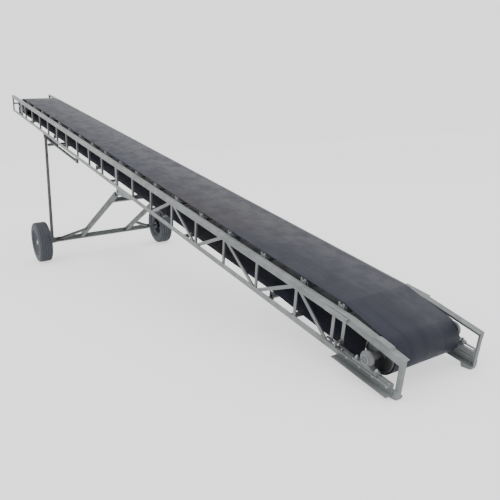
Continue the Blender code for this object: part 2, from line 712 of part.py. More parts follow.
def track_roller_shapes(side):
    """The roller that runs under the guide rail, and its pin."""
    half, centre = TRACK_ROLLER_WIDTH / 2, side * TRACK_Y
    near, far = sorted((side * (TRACK_Y - half), side * STRUT_TOP_Y))
    pin = disc(STRUT_TOP_STATION, PIN_Z, near, far, PIN_RADIUS, 12)
    roller = disc(STRUT_TOP_STATION, PIN_Z, centre - half, centre + half, TRACK_ROLLER_RADIUS, 20)
    return [pin, roller]


def strut_top(side):
    return station(STRUT_TOP_STATION, side * STRUT_TOP_Y, PIN_Z)


def lift_strut_shapes(side):
    """The strut: leaning tube, eye round the axle, and the track roller on its pin at the top."""
    axle = station(AXLE_STATION, 0, AXLE_Z)
    low = axle + strut_direction() * 0.040 + Vector((0, side * STRUT_EYE_Y, 0))
    high = strut_top(side) + strut_direction() * 0.012
    tube = bar(low, high, STRUT_SIZE, STRUT_SIZE, Vector((0, 1, 0)))
    inner, outer = AXLE_ROUND_RADIUS + GAP, STRUT_EYE_RADIUS
    low_y, high_y = side * STRUT_EYE_Y - STRUT_EYE_WIDTH / 2, side * STRUT_EYE_Y + STRUT_EYE_WIDTH / 2
    eye = turned([(inner, low_y), (outer, low_y), (outer, high_y), (inner, high_y)], 24, closed=True)
    bmesh.ops.translate(eye, verts=eye.verts, vec=axle)
    return [tube, eye] + track_roller_shapes(side)


def track_arm_shapes(side):
    """The short arm that carries the other track roller on the end of the cross tube."""
    high = strut_top(side) + strut_direction() * 0.012
    low = high - strut_direction() * (STRUT_CROSS_DROP + 0.036)
    tube = bar(low, high, STRUT_SIZE, STRUT_SIZE, Vector((0, 1, 0)))
    return [tube] + track_roller_shapes(side)


def strut_cross_tube():
    """A square tube from the inner face of the strut to the inner face of the arm."""
    across = Vector((0, 1, 0))
    length = (strut_top(0) - station(AXLE_STATION, 0, AXLE_Z)).length
    lean = (STRUT_EYE_Y - STRUT_TOP_Y) / length * STRUT_CROSS_DROP
    spot = strut_top(0) - strut_direction() * STRUT_CROSS_DROP
    reach = STRUT_TOP_Y - STRUT_SIZE / 2
    low, high = spot - across * (reach + lean - 0.006), spot + across * (reach - GAP)
    return bar(low, high, STRUT_CROSS_SIZE, STRUT_CROSS_SIZE, strut_direction())


def build_struts(paint, axes):
    """One strut on the left, tied across to the roller arm on the right."""
    pivot = bpy.data.objects.new("strut_axis", None)
    bpy.context.scene.collection.objects.link(pivot)
    pivot.parent = axes
    pivot.location = station(AXLE_STATION, 0, AXLE_Z)
    back = tuple(-pivot.location)
    add_welded("left_lift_strut", lift_strut_shapes(-1), paint["chassis_paint"], pivot, back)
    add_welded("right_track_arm", track_arm_shapes(1), paint["chassis_paint"], pivot, back)
    add_object("strut_cross_tube", strut_cross_tube(), paint["chassis_paint"], pivot, back)


def guide_rail_shapes(side):
    """A track bar hung under the bottom chord by two end blocks, with a hanger plate inside."""
    low_y = side * TRACK_Y - TRACK_WIDTH / 2
    top, bottom = RAIL_TOP, RAIL_TOP - RAIL_HEIGHT
    under, foot = -FRAME_DEPTH - GAP, RAIL_TOP - RAIL_HEIGHT - 0.006
    track = [(RAIL_TAIL_END, top), (RAIL_HEAD_END, top), (RAIL_HEAD_END, bottom), (RAIL_TAIL_END, bottom)]
    shapes = [plate(track, low_y, TRACK_WIDTH)]
    for low_s, high_s in ((RAIL_TAIL_END - 0.012, RAIL_TAIL_END + 0.040),
                          (RAIL_HEAD_END - 0.030, RAIL_HEAD_END + 0.012)):
        block = [(low_s, under), (high_s, under), (high_s, foot), (low_s, foot)]
        shapes.append(plate(block, low_y + 0.001, TRACK_WIDTH - 0.002))
    side_face = TRACK_Y - TRACK_WIDTH / 2
    inner, outer = sorted((side * (side_face - 0.004), side * (side_face + 0.0012)))
    start = RAIL_HEAD_END - HANGER_LENGTH
    hanger = [(start, top + 0.004), (start + 0.20, under), (RAIL_HEAD_END, under)]
    hanger += [(RAIL_HEAD_END, bottom + 0.002), (start, bottom + 0.002)]
    shapes.append(plate(hanger, inner, outer - inner))
    return shapes


def build_guide_rails(paint, axes):
    for name, side in SIDES.items():
        add_welded(f"{name}_guide_rail", guide_rail_shapes(side), paint["chassis_paint"], axes)


def rim_profile(side):
    """Hub, dished disc and rim barrel of one wheel, as one turned section."""
    half = TYRE_WIDTH / 2 - 0.022
    lip, well = RIM_RADIUS, RIM_RADIUS - 0.030
    bore = SPINDLE_RADIUS + 0.0005
    outline = [(bore, -0.075), (HUB_RADIUS, -0.075), (HUB_RADIUS, 0.020), (well - 0.006, 0.020)]
    outline += [(well - 0.006, -half), (lip, -half), (well, -half + 0.030), (well, half - 0.030)]
    outline += [(lip, half), (well - 0.006, half), (well - 0.006, 0.028), (HUB_RADIUS, 0.028)]
    outline += [(HUB_RADIUS, 0.048), (bore, 0.048)]
    return [(r, side * y) for r, y in outline]


def tyre_profile():
    """Closed section of the tyre: flat tread, rounded shoulders, bulged walls, bead seat."""
    inner, tread, half = RIM_RADIUS + GAP, TYRE_RADIUS, TYRE_WIDTH / 2
    wall = [(inner, half - 0.023), (inner + 0.040, half), (tread - 0.024, half - 0.006)]
    wall += [(tread, half - 0.034)]
    return [(r, -y) for r, y in wall] + [(r, y) for r, y in reversed(wall)]


def build_wheels(paint, axes):
    """Both wheels, turned so that one flat of the tread lies on the ground."""
    for name, side in SIDES.items():
        centre = station(AXLE_STATION, side * WHEEL_Y, AXLE_Z)
        rim = turned(rim_profile(side), WHEEL_SEGMENTS, closed=True)
        tyre = turned(tyre_profile(), WHEEL_SEGMENTS, closed=True)
        pieces = (("wheel_rim", rim, "chassis_paint"), ("tyre", tyre, "tyre_rubber"))
        for label, shape, finish in pieces:
            item = add_object(f"{name}_{label}", shape, paint[finish], axes, centre, smooth=True)
            item.rotation_euler = (0.0, HALF_FACET - INCLINE, 0.0)


def main():
    clear_scene()
    paint = make_materials()
    axes = make_axes()
    build_trusses(paint, axes)
    build_cross_members(paint, axes)
    build_belt(paint, axes)
    build_rollers(paint, axes)
    build_head(paint, axes)
    build_tail_pulley(paint, axes)
    build_takeup(paint, axes)
    build_hinge_pins(paint, axes)
    build_guide_rails(paint, axes)
    build_legs(paint, axes)
    build_struts(paint, axes)
    build_wheels(paint, axes)


main()
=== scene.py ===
"""Looks of the mobile belt conveyor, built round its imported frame.

Shapes are made in frame coordinates, as the CAD's are: x = -s, with s metres from the tail end along
the sloping frame, y across the belt (left is negative) and z square to the belt, 0 on the top chords.
AXES carries them into the row frame. Wheel, roller and pulley shapes turn about their own y axis.
"""

import json
import math

import bmesh
import bpy
from mathutils import Matrix, Vector

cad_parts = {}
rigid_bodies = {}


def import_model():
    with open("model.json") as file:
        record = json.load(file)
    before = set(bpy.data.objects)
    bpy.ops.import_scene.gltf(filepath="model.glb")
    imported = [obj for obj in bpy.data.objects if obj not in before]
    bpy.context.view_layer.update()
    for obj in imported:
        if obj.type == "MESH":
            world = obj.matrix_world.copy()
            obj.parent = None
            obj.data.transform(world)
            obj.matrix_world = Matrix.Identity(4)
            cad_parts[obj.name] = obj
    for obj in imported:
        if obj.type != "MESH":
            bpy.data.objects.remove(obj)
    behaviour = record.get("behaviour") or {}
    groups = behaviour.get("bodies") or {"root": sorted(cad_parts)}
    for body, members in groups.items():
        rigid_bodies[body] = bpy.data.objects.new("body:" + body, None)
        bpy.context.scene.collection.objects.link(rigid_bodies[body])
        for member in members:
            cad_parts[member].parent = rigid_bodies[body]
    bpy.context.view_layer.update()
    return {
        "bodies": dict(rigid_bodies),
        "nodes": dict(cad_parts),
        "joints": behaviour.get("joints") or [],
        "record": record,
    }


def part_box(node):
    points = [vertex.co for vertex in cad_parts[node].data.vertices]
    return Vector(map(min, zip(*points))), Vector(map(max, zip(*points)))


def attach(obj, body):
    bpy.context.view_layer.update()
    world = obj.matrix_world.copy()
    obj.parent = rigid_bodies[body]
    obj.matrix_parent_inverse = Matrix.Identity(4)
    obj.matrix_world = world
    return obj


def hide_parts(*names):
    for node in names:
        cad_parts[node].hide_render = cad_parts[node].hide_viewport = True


# Camera and stage
CAMERA_PLACE = (7.0141, -2.6079, 1.5406)
CAMERA_HEADING = math.radians(148.370)
CAMERA_PITCH = math.radians(-11.231)
CAMERA_ROLL = math.radians(-3.939)
CAMERA_LENS = 41.303
FLOOR_RADIUS = 90.0
FLOOR_GLOW = 0.9
WORLD_GLOW = 1.75

# Frame, in metres
SEAT_STATION = 1.25
HALF_WIDTH = 0.355
FRAME_LENGTH = 10.0
BAY = 0.5
PAIRED_POST = 0.6
SPLICE = 4.5
SPLICE_BOLTS_Y = 0.3345
SPLICE_BOLTS_Z = (-0.075, -0.145, -0.215)
SPLICE_WALL = 0.0046
CHORD_WEB = 0.045
CHORD_WALL = 0.005
POST_LEG = 0.028
FRAME_DEPTH = 0.29
TAIL_SLOPE = math.atan2(0.04, 0.45)
DIAGONALS = ((0.62, 1.0), (1.5, 1.0), (1.5, 2.0), (2.5, 2.0), (2.5, 3.0), (3.5, 3.0))

# Belt and rollers
BELT_WIDTH = 0.57
BELT_THICKNESS = 0.008
ROLLING_GAP = 0.0006
PULLEY_GAP = 0.0012
CARRYING_SAG = 0.0015
RETURN_SAG = 0.006
WIDEST_ROLLER = 0.1
ROLLER_RADIUS = 0.038
RETURN_ROLLER_RADIUS = 0.025
ROLLER_HALF_LENGTH = 0.289
ROLLER_SHAFT_RADIUS = 0.010
ROLLER_SHAFT_HALF = 0.298
BRACKET_Y = 0.2935
BRACKET_WALL = 0.006
BRACKET_SLOT = 0.021
HEAD_RADIUS = 0.125
HEAD_SHAFT_RADIUS = 0.020
BORE_GAP = 0.0006
PLATE_FACE_Y = 0.3182
PLATE_BOLTS_S = (-0.080, 0.035)
PLATE_BOLTS_Z = (-0.035, -0.255)
COLLAR = (0.300, 0.316)
TAIL_RADIUS = 0.118
TAIL_SHAFT_RADIUS = 0.025
DRUM_HALF_LENGTH = 0.292

# Tail bearing and take-up
HOUSING_Y = 0.385
HOUSING_WIDTH = 0.046
HOUSING_LENGTH = 0.210
HOUSING_BASE = 0.018
HOUSING_HEIGHT = 0.060
SCREW_RADIUS = 0.008
SCREW_PITCH = 0.0025
SCREW_Z = -0.192
SCREW_END = 0.600
SCREW_BRACKET = 0.500
RAIL_FACE_Y = 0.3614
RAIL_BOLT_Z = -0.252
RAIL_BOLTS = (0.075, 0.190, 0.305, 0.420)
CHANNEL_BOLTS = (0.048, 0.455)
HOUSING_BOLT = 0.084

# Undercarriage
LEG_Y = 0.340
LEG_HALF = 0.025
AXLE_BEAD = 0.0315
CROSS_TUBE_DROP = 0.32
AXLE_COLLARS = ((0.7045, 0.7220), (0.7745, 0.7880))
WHEEL_NUTS = 5
NUT_CIRCLE = 0.064
HAND_HOLES = 10
RIM_RADIUS = 0.172
TYRE_WIDTH = 0.180
TYRE_SEGMENTS = 96

SIDES = {"left": -1, "right": 1}
X, Y, Z = Vector((1, 0, 0)), Vector((0, 1, 0)), Vector((0, 0, 1))

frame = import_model()
JOINTS = {joint["name"]: joint for joint in frame["joints"]}
MOUNTS = {mount["name"]: mount for mount in frame["record"]["mounts"]}
ROLLERS = sorted(body for body in frame["bodies"] if body.startswith("carrying_roller_"))
RETURN_ROLLERS = sorted(body for body in frame["bodies"] if body.startswith("return_roller_"))
POSTS = [BAY * number for number in range(1, 20)]


def frame_axes():
    """The matrix from frame coordinates to the row frame, from the take-up's slide and a mount."""
    tailward = -Vector(JOINTS["takeup_slide"]["axis"])
    upward = tailward.cross(Y)
    turn = Matrix((tailward, Y, upward)).transposed()
    seat = Vector(MOUNTS["right_hopper_seat"]["pos_m"])
    origin = seat - turn @ Vector((-SEAT_STATION, seat.y, 0.0))
    return Matrix.Translation(origin) @ turn.to_4x4()


AXES = frame_axes()


def joint_place(name):
    """A joint's place in frame coordinates."""
    return AXES.inverted() @ Vector(JOINTS[name]["pos_m"])


# Closed shapes, as bmeshes


def lathe(profile, segments, closed=False, phase=0.0):
    """(radius, y) points turned about the y axis. A closed profile makes a ring."""
    bm = bmesh.new()
    rings = []
    for step in range(segments):
        angle = phase + 2 * math.pi * step / segments
        spoke = Vector((math.cos(angle), 0, math.sin(angle)))
        rings.append([bm.verts.new(spoke * r + Y * y) for r, y in profile])
    count = len(profile)
    for step in range(segments):
        here, there = rings[step], rings[(step + 1) % segments]
        for i in range(count if closed else count - 1):
            j = (i + 1) % count
            bm.faces.new((here[i], here[j], there[j], there[i]))
    if not closed:
        bm.faces.new([ring[0] for ring in rings])
        bm.faces.new([ring[-1] for ring in reversed(rings)])
    bmesh.ops.remove_doubles(bm, verts=bm.verts, dist=1e-6)
    bmesh.ops.recalc_face_normals(bm, faces=bm.faces)
    return bm


def extruded(outline, origin, across, up, depth):
    """An outline of (a, b) points in the plane (across, up) at origin, drawn out by the vector depth."""
    bm = bmesh.new()
    near = [bm.verts.new(origin + across * a + up * b) for a, b in outline]
    far = [bm.verts.new(vert.co + depth) for vert in near]
    bm.faces.new(near)
    bm.faces.new(list(reversed(far)))
    for i in range(len(outline)):
        j = (i + 1) % len(outline)
        bm.faces.new((near[j], near[i], far[i], far[j]))
    bmesh.ops.recalc_face_normals(bm, faces=bm.faces)
    return bm


def block(low, high):
    """A box between two corners in frame coordinates."""
    outline = [(low[0], low[2]), (high[0], low[2]), (high[0], high[2]), (low[0], high[2])]
    return extruded(outline, Vector((0, low[1], 0)), X, Z, Y * (high[1] - low[1]))


def moved(bm, matrix):
    bmesh.ops.transform(bm, matrix=matrix, verts=bm.verts)
    return bm


def at(s, y, z):
    return Matrix.Translation((-s, y, z))


def pointing(direction):
    """The turn that points a shape's y axis along direction."""
    return Y.rotation_difference(Vector(direction)).to_matrix().to_4x4()


def merged(shapes):
    whole = bmesh.new()
    for shape in shapes:
        mesh = bpy.data.meshes.new("shape")
        shape.to_mesh(mesh)
        shape.free()
        whole.from_mesh(mesh)
        bpy.data.meshes.remove(mesh)
    return whole


def hexagon(flats, height):
    """A hexagon nut or bolt head standing on y = 0, its outer corners chamfered."""
    corner = flats / math.sqrt(3)
    profile = [(0.0, 0.0), (corner * 0.97, 0.0), (corner, height * 0.1), (corner, height * 0.75)]
    profile += [(flats / 2, height), (0.0, height)]
    return lathe(profile, 6)


def washer(radius, height):
    edge = height * 0.3
    profile = [(0.0, 0.0), (radius, 0.0), (radius, height - edge), (radius - edge, height), (0.0, height)]
    return lathe(profile, 28)


def stud(radius, low, high):
    edge = radius * 0.25
    profile = [(0.0, low), (radius - edge, low), (radius, low + edge)]
    profile += [(radius, high - edge), (radius - edge, high), (0.0, high)]
    return lathe(profile, 18)


def bolt_head(flats):
    """A hexagon head on its washer, standing on y = 0."""
    plate = 0.12 * flats
    return [washer(flats * 0.78, plate), moved(hexagon(flats, 0.62 * flats), Matrix.Translation(Y * plate))]


def nut_on_stud(flats):
    """A nut on its washer with the stud's end standing out of it."""
    return bolt_head(flats) + [stud(flats * 0.32, 0.0, 1.05 * flats)]


def placed(shapes, matrix):
    return [moved(shape, matrix) for shape in shapes]


def bead(start, end, radius):
    """A weld bead: a low rippled cord from start to end."""
    along = end - start
    across = along.orthogonal().normalized()
    up = along.normalized().cross(across)
    steps = max(6, round(along.length / 0.0035))
    bm = bmesh.new()
    rings = []
    for step in range(steps + 1):
        share = step / steps
        ripple = radius * (0.45 if step in (0, steps) else 0.9 + 0.12 * (step % 2))
        centre = start + along * share
        ring = []
        for corner in range(8):
            angle = math.pi * corner / 4
            ring.append(bm.verts.new(centre + (across * math.cos(angle) + up * math.sin(angle)) * ripple))
        rings.append(ring)
    for here, there in zip(rings, rings[1:]):
        for i in range(8):
            j = (i + 1) % 8
            bm.faces.new((here[i], here[j], there[j], there[i]))
    bm.faces.new(rings[0])
    bm.faces.new(list(reversed(rings[-1])))
    bmesh.ops.recalc_face_normals(bm, faces=bm.faces)
    return bm


# Pieces


def add_piece(name, bm, material, body, bevel=0.0, sharp=35.0, framed=True):
    """A piece that rides on a body. A framed one is in frame coordinates."""
    if framed:
        moved(bm, AXES)
    mesh = bpy.data.meshes.new(name)
    bm.to_mesh(mesh)
    bm.free()
    mesh.materials.append(material)
    mesh.shade_smooth()
    mesh.set_sharp_from_angle(angle=math.radians(sharp))
    piece = bpy.data.objects.new(name, mesh)
    bpy.context.scene.collection.objects.link(piece)
    if bevel:
        soften(piece, bevel)
    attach(piece, body)
    return piece


def soften(piece, width):
    """Rounds a piece's sharp edges."""
    modifier = piece.modifiers.new("edges", "BEVEL")
    modifier.width = width
    modifier.segments = 2
    modifier.limit_method = "ANGLE"
    modifier.angle_limit = math.radians(40)
    modifier.use_clamp_overlap = True
    modifier.harden_normals = False


# Materials


class Shading:
    """One material's node tree, with short ways to add the nodes used here."""

    def __init__(self, name, roughness, metallic=0.0):
        self.material = bpy.data.materials.new(name)
        self.material.use_nodes = True
        self.tree = self.material.node_tree
        self.shader = self.tree.nodes["Principled BSDF"]
        self.shader.inputs["Roughness"].default_value = roughness
        self.shader.inputs["Metallic"].default_value = metallic
        self.place = self.add("ShaderNodeTexCoord").outputs["Object"]

    def add(self, kind, settings=(), **inputs):
        node = self.tree.nodes.new(kind)
        for key, value in dict(settings).items():
            setattr(node, key, value)
        for key, value in inputs.items():
            self.feed(node.inputs[key.replace("_", " ")], value)
        return node

    def feed(self, socket, value):
        if isinstance(value, bpy.types.NodeSocket):
            self.tree.links.new(value, socket)
        else:
            socket.default_value = value

    def stretched(self, scale, tilt=0.0):
        """Object coordinates scaled by axis, first turned by tilt about y."""
        turned = self.add("ShaderNodeMapping", Vector=self.place, Rotation=(0.0, tilt, 0.0))
        return self.add("ShaderNodeMapping", Vector=turned.outputs[0], Scale=scale).outputs[0]

    def noise(self, scale, detail=4.0, place=None, rough=0.55):
        inputs = {"Vector": place or self.place, "Scale": scale, "Detail": detail, "Roughness": rough}
        return self.add("ShaderNodeTexNoise", **inputs).outputs["Fac"]

    def between(self, value, low, high, out_low=0.0, out_high=1.0):
        """Maps value from the range low to high onto out_low to out_high, clamped."""
        node = self.add("ShaderNodeMapRange", Value=value, From_Min=low, From_Max=high)
        node.inputs["To Min"].default_value = out_low
        node.inputs["To Max"].default_value = out_high
        return node.outputs[0]

    def maths(self, operation, first, second):
        node = self.add("ShaderNodeMath", {"operation": operation, "use_clamp": True})
        self.feed(node.inputs[0], first)
        self.feed(node.inputs[1], second)
        return node.outputs[0]

    def mix(self, share, first, second):
        node = self.add("ShaderNodeMix", {"data_type": "RGBA"})
        self.feed(node.inputs[0], share)
        for index, colour in ((6, first), (7, second)):
            linked = isinstance(colour, bpy.types.NodeSocket)
            self.feed(node.inputs[index], colour if linked else (*colour, 1.0))
        return node.outputs[2]

    def edges(self, low, high):
        """1 on worn outer edges."""
        return self.between(self.add("ShaderNodeNewGeometry").outputs["Pointiness"], low, high)

    def bump(self, height, distance, under=None):
        node = self.add("ShaderNodeBump", Height=height, Strength=1.0, Distance=distance)
        if under:
            self.feed(node.inputs["Normal"], under)
        return node.outputs[0]

    def finish(self, colour, roughness=None, normal=None):
        self.feed(self.shader.inputs["Base Color"], colour)
        if roughness is not None:
            self.feed(self.shader.inputs["Roughness"], roughness)
        if normal is not None:
            self.feed(self.shader.inputs["Normal"], normal)
        return self.material


def paint(name, light, dark, dirt, rough=0.42):
    """Brushed enamel on rolled steel: uneven film, stains, chips, and lighter worn edges."""
    s = Shading(name, rough)
    film = s.mix(s.between(s.noise(2.2, 3.0), 0.35, 0.65), dark, light)
    streaks = s.between(s.noise(1.0, 5.0, s.stretched((4.0, 60.0, 14.0))), 0.46, 0.70, 0.0, 0.35)
    film = s.mix(streaks, film, dark)
    stain = s.maths("MULTIPLY", s.between(s.noise(9.0, 8.0, rough=0.7), 0.52, 0.72), 0.55)
    film = s.mix(stain, film, dirt)
    chips = s.maths("MULTIPLY", s.between(s.noise(55.0, 3.0), 0.66, 0.70), 0.5)
    film = s.mix(chips, film, (0.16, 0.12, 0.095))
    worn = s.maths("MULTIPLY", s.edges(0.53, 0.60), s.between(s.noise(14.0, 4.0), 0.42, 0.6))
    film = s.mix(worn, film, tuple(min(1.0, part * 1.35) for part in light))
    gloss = s.between(s.noise(18.0, 5.0), 0.3, 0.75, rough - 0.10, rough + 0.16)
    peel = s.bump(s.noise(320.0, 2.0), 0.0003)
    return s.finish(film, gloss, s.bump(s.noise(24.0, 4.0), 0.0006, peel))


def belt_rubber(incline):
    """Dusty slate rubber, streaked along its travel, with a faint fabric print."""
    s = Shading("belt_rubber", 0.62)
    s.shader.inputs["Specular IOR Level"].default_value = 0.22
    lengthwise = s.stretched((0.5, 9.0, 0.5), incline)
    grey = s.between(s.noise(1.6, 5.0, lengthwise), 0.35, 0.68)
    colour = s.mix(grey, (0.009, 0.010, 0.018), (0.017, 0.019, 0.031))
    mottle = s.between(s.noise(7.0, 7.0, rough=0.68), 0.42, 0.70, 0.0, 0.55)
    colour = s.mix(mottle, colour, (0.022, 0.023, 0.034))
    dust = s.between(s.noise(0.9, 4.0, s.stretched((0.6, 1.6, 0.6), incline)), 0.50, 0.72, 0.0, 0.45)
    colour = s.mix(dust, colour, (0.031, 0.025, 0.024))
    rubbed = s.between(s.noise(2.0, 6.0, s.stretched((0.25, 46.0, 0.25), incline)), 0.56, 0.70, 0.0, 0.30)
    colour = s.mix(rubbed, colour, (0.007, 0.007, 0.012))
    fabric = s.add("ShaderNodeTexWave", {"wave_type": "BANDS", "bands_direction": "Y"},
                   Vector=s.place, Scale=95.0, Distortion=0.4)
    weave = s.bump(fabric.outputs["Fac"], 0.00012)
    grain = s.bump(s.noise(420.0, 3.0), 0.00025, weave)
    waves = s.bump(s.noise(11.0, 4.0), 0.0012, grain)
    return s.finish(colour, s.between(mottle, 0.0, 0.55, 0.50, 0.68), waves)


def tyre_rubber():
    s = Shading("tyre_rubber", 0.78)
    colour = s.mix(s.between(s.noise(6.0, 5.0), 0.35, 0.7), (0.020, 0.024, 0.032), (0.036, 0.042, 0.053))
    dust = s.between(s.noise(15.0, 8.0, rough=0.7), 0.50, 0.72, 0.0, 0.55)
    colour = s.mix(dust, colour, (0.066, 0.064, 0.061))
    return s.finish(colour, s.between(dust, 0.0, 0.55, 0.66, 0.88), s.bump(s.noise(180.0, 4.0), 0.0005))


def steel(name, light, dark, rough, rust=0.25):
    """Turned or drawn steel with fine turning marks and a film of rust."""
    s = Shading(name, rough, 0.85)
    colour = s.mix(s.between(s.noise(10.0, 5.0), 0.35, 0.7), dark, light)
    stain = s.between(s.noise(26.0, 8.0, rough=0.7), 0.55, 0.74, 0.0, rust)
    colour = s.mix(stain, colour, (0.20, 0.115, 0.065))
    marks = s.bump(s.noise(1.0, 3.0, s.stretched((30.0, 900.0, 30.0))), 0.00012)
    gloss = s.between(s.noise(40.0, 4.0), 0.3, 0.7, rough - 0.08, rough + 0.14)
    return s.finish(colour, gloss, marks)


def cast_paint():
    """Silver paint over a sand-cast surface."""
    s = Shading("cast_paint", 0.5)
    colour = s.mix(s.between(s.noise(16.0, 6.0), 0.35, 0.68), (0.060, 0.068, 0.070), (0.105, 0.113, 0.116))
    grime = s.between(s.noise(38.0, 6.0, rough=0.7), 0.52, 0.70, 0.0, 0.6)
    colour = s.mix(grime, colour, (0.075, 0.075, 0.07))
    return s.finish(colour, s.between(grime, 0.0, 0.6, 0.40, 0.62), s.bump(s.noise(260.0, 4.0), 0.0008))


def plastic(name, base):
    s = Shading(name, 0.5)
    lighter = tuple(part * 1.5 for part in base)
    colour = s.mix(s.between(s.noise(30.0, 5.0), 0.4, 0.7), base, lighter)
    gloss = s.between(s.noise(60.0, 3.0), 0.3, 0.7, 0.42, 0.6)
    return s.finish(colour, gloss, s.bump(s.noise(300.0, 2.0), 0.0003))


def make_materials():
    incline = math.atan2(JOINTS["takeup_slide"]["axis"][2], -JOINTS["takeup_slide"]["axis"][0])
    return {
        "frame": paint("silver_paint", (0.132, 0.143, 0.145), (0.082, 0.090, 0.092), (0.060, 0.057, 0.050)),
        "chassis": paint("dark_paint", (0.046, 0.054, 0.054), (0.028, 0.033, 0.034),
                         (0.065, 0.062, 0.056), 0.48),
        "rim": paint("rim_paint", (0.040, 0.048, 0.060), (0.024, 0.029, 0.038), (0.055, 0.055, 0.055), 0.5),
        "weld": paint("weld_paint", (0.115, 0.120, 0.115), (0.066, 0.070, 0.070), (0.045, 0.042, 0.038)),
        "dark_weld": paint("dark_weld_paint", (0.040, 0.046, 0.047), (0.024, 0.028, 0.029),
                           (0.055, 0.052, 0.048)),
        "belt": belt_rubber(incline),
        "tyre": tyre_rubber(),
        "roller": steel("roller_steel", (0.17, 0.175, 0.18), (0.09, 0.093, 0.098), 0.42),
        "zinc": steel("zinc_plate", (0.40, 0.41, 0.42), (0.24, 0.25, 0.26), 0.36, 0.12),
        "dark_steel": steel("oiled_steel", (0.085, 0.088, 0.094), (0.042, 0.044, 0.048), 0.38, 0.35),
        "housing": cast_paint(),
        "seal": plastic("seal_plastic", (0.022, 0.024, 0.028)),
    }


# Stage


def make_camera():
    data = bpy.data.cameras.new("camera")
    data.lens = CAMERA_LENS
    data.clip_end = 400.0
    camera = bpy.data.objects.new("camera", data)
    bpy.context.scene.collection.objects.link(camera)
    turn = Matrix.Rotation(CAMERA_HEADING - math.pi / 2, 4, "Z")
    turn = turn @ Matrix.Rotation(math.pi / 2 + CAMERA_PITCH, 4, "X") @ Matrix.Rotation(CAMERA_ROLL, 4, "Z")
    camera.matrix_world = Matrix.Translation(CAMERA_PLACE) @ turn
    bpy.context.scene.camera = camera


def make_floor():
    bm = bmesh.new()
    bmesh.ops.create_circle(bm, cap_ends=True, segments=96, radius=FLOOR_RADIUS)
    mesh = bpy.data.meshes.new("floor")
    bm.to_mesh(mesh)
    bm.free()
    shading = Shading("floor", 0.85)
    pale = shading.mix(shading.noise(0.15, 2.0), (0.45, 0.45, 0.45), (0.47, 0.47, 0.47))
    shading.shader.inputs["Emission Color"].default_value = (1.0, 1.0, 1.0, 1.0)
    shading.shader.inputs["Emission Strength"].default_value = FLOOR_GLOW
    mesh.materials.append(shading.finish(pale))
    floor = bpy.data.objects.new("floor", mesh)
    floor.location.z = -0.0005
    bpy.context.scene.collection.objects.link(floor)


def add_light(name, place, target, size, power, tint):
    data = bpy.data.lights.new(name, "AREA")
    data.shape = "DISK"
    data.size = size
    data.energy = power
    data.color = tint
    light = bpy.data.objects.new(name, data)
    bpy.context.scene.collection.objects.link(light)
    light.location = place
    light.rotation_euler = (Vector(target) - Vector(place)).to_track_quat("-Z", "Y").to_euler()


def make_lights():
    world = bpy.data.worlds.new("studio")
    world.use_nodes = True
    background = world.node_tree.nodes["Background"]
    background.inputs["Color"].default_value = (1.0, 1.0, 1.0, 1.0)
    background.inputs["Strength"].default_value = WORLD_GLOW
    bpy.context.scene.world = world
    add_light("key", (4.0, -9.0, 11.0), (1.0, 0.0, 0.8), 7.0, 520.0, (1.0, 0.99, 0.97))
    add_light("sky", (-2.0, 3.0, 13.0), (0.0, 0.0, 1.0), 12.0, 350.0, (0.93, 0.96, 1.0))


# Belt


def tangent(first, second):
    """Heading of the straight belt run between two signed circles (s, z, radius)."""
    ds, dz = second[0] - first[0], second[1] - first[1]
    return math.atan2(dz, ds) - math.asin((first[2] - second[2]) / math.hypot(ds, dz))


def belt_circles():
    """Circles the belt's inner face bends round, in the order it travels. Outside ones are negative."""
    under = -(RETURN_ROLLER_RADIUS + ROLLING_GAP + BELT_THICKNESS)
    wraps = [("tail_pulley_spin", TAIL_RADIUS + PULLEY_GAP)]
    wraps += [(body + "_spin", ROLLER_RADIUS + ROLLING_GAP) for body in ROLLERS]
    wraps.append(("head_drum_spin", HEAD_RADIUS + PULLEY_GAP))
    wraps += [(body + "_spin", under) for body in reversed(RETURN_ROLLERS)]
    circles = []
    for name, radius in wraps:
        place = joint_place(name)
        circles.append((-place.x, place.z, radius))
    return circles


def belt_path():
    """Points (s, z) and outward normals of the belt's inner face, sagging a little between rollers.

    Round the drum and the pulley the belt turns the long way.
    """
    circles = belt_circles()
    count = len(circles)
    path = []
    for i, (s, z, radius) in enumerate(circles):
        arrive = tangent(circles[i - 1], circles[i])
        leave = tangent(circles[i], circles[(i + 1) % count])
        turn = (leave - arrive + math.pi) % (2 * math.pi) - math.pi
        if radius > WIDEST_ROLLER and turn > 0:
            turn -= 2 * math.pi
        steps = max(1, round(abs(turn) / math.radians(4)))
        for step in range(steps + 1):
            heading = arrive + turn * step / steps
            normal = Vector((-math.sin(heading), math.cos(heading)))
            path.append((Vector((s, z)) + normal * radius, normal))
        path += belt_run(path[-1], circles[(i + 1) % count], leave, radius < WIDEST_ROLLER)
    return path


def belt_run(last, circle, heading, may_sag):
    """The points of one straight run, up to the next circle."""
    start, normal = last
    end = Vector((circle[0], circle[1])) + normal * circle[2]
    length = (end - start).length
    returning = math.cos(heading) < 0
    depth = 0.0
    if may_sag:
        depth = RETURN_SAG if returning else CARRYING_SAG
    steps = max(2, round(length / 0.1))
    points = []
    for step in range(1, steps):
        share = step / steps
        drop = depth * 4 * share * (1 - share)
        points.append((start.lerp(end, share) - Vector((0.0, drop)), normal))
    return points


